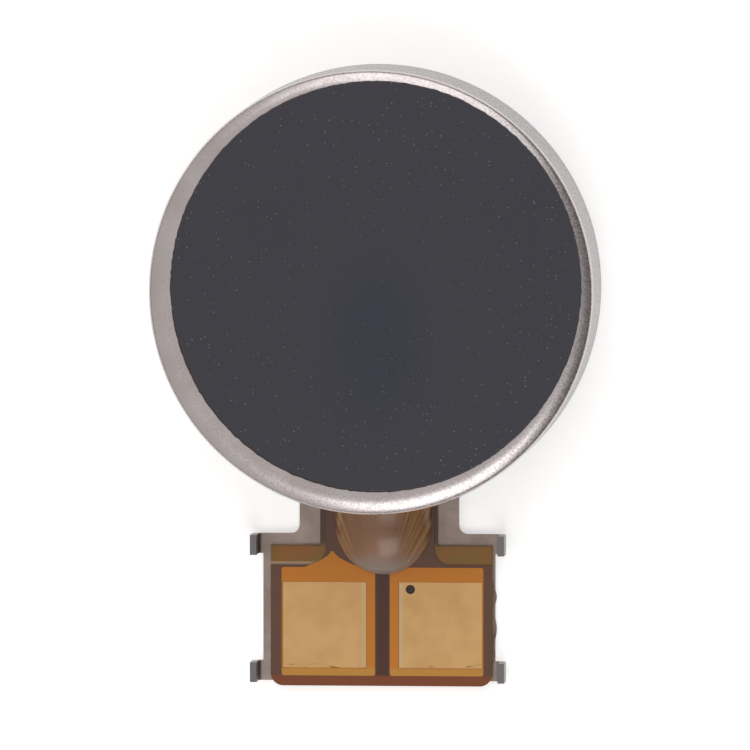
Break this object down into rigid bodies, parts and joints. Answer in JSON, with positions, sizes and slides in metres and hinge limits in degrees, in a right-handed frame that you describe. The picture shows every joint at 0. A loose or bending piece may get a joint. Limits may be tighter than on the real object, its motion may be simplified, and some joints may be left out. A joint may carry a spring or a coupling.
{
  "type": "vibration coin motor",
  "caption": "Flat coin vibration motor: round drawn metal can with an eccentric rotor inside, on a sheet bracket whose tongue carries gold spring-contact lands.",
  "frame": {"origin": "the rotor axis at the underside of the bracket", "axes": "+Z along the rotor axis towards the stuck-down face, -Y along the contact tongue, +X to the right of the tongue seen from the face"},
  "size_m": [0.01, 0.014, 0.0027],
  "materials": {
    "case_steel": "drawn stainless steel, satin",
    "bracket_steel": "stamped stainless steel, matt mill finish",
    "shaft_steel": "ground hardened steel",
    "magnet_nickel": "nickel-plated sintered neodymium iron boron",
    "polyimide": "amber polyimide film",
    "adhesive": "brown film adhesive",
    "copper": "rolled copper foil",
    "gold_plate": "matt gold plating over nickel",
    "brush_alloy": "precious metal leaf spring",
    "solder": "reflowed tin solder",
    "washer_film": "polyester thrust washer",
    "bush_bronze": "oil-filled sintered bronze",
    "board_laminate": "solder-masked glass epoxy laminate",
    "winding": "enamelled copper wire",
    "tungsten": "sintered tungsten alloy",
    "moulding_resin": "black moulded resin",
    "seal_resin": "cured translucent adhesive",
    "face_black": "black film, satin"
  },
  "bodies": {
    "stator": {"case_cover": "case_steel", "bracket": "bracket_steel", "weld_nuggets": "bracket_steel", "shaft": "shaft_steel", "ring_magnet": "magnet_nickel", "flex_film": "polyimide", "coverlay": "polyimide", "flex_glue": "adhesive", "magnet_glue": "adhesive", "face_glue": "adhesive", "copper_left": "copper", "copper_right": "copper", "gold_pad_left": "gold_plate", "gold_pad_right": "gold_plate", "brush_left": "brush_alloy", "brush_right": "brush_alloy", "brush_solder_left": "solder", "brush_solder_right": "solder", "lower_washer": "washer_film", "upper_washer": "washer_film", "seal_glue": "seal_resin", "face_film": "face_black"},
    "rotor": {"bearing_bush": "bush_bronze", "rotor_board": "board_laminate", "commutator": "gold_plate", "coil_left": "winding", "coil_right": "winding", "eccentric_weight": "tungsten", "rotor_moulding": "moulding_resin"}
  },
  "joints": [
    {"name": "rotor_spin", "type": "hinge", "parent": "stator", "child": "rotor", "pos_m": [0, 0, 0], "axis": [0, 0, 1], "continuous": true}
  ]
}
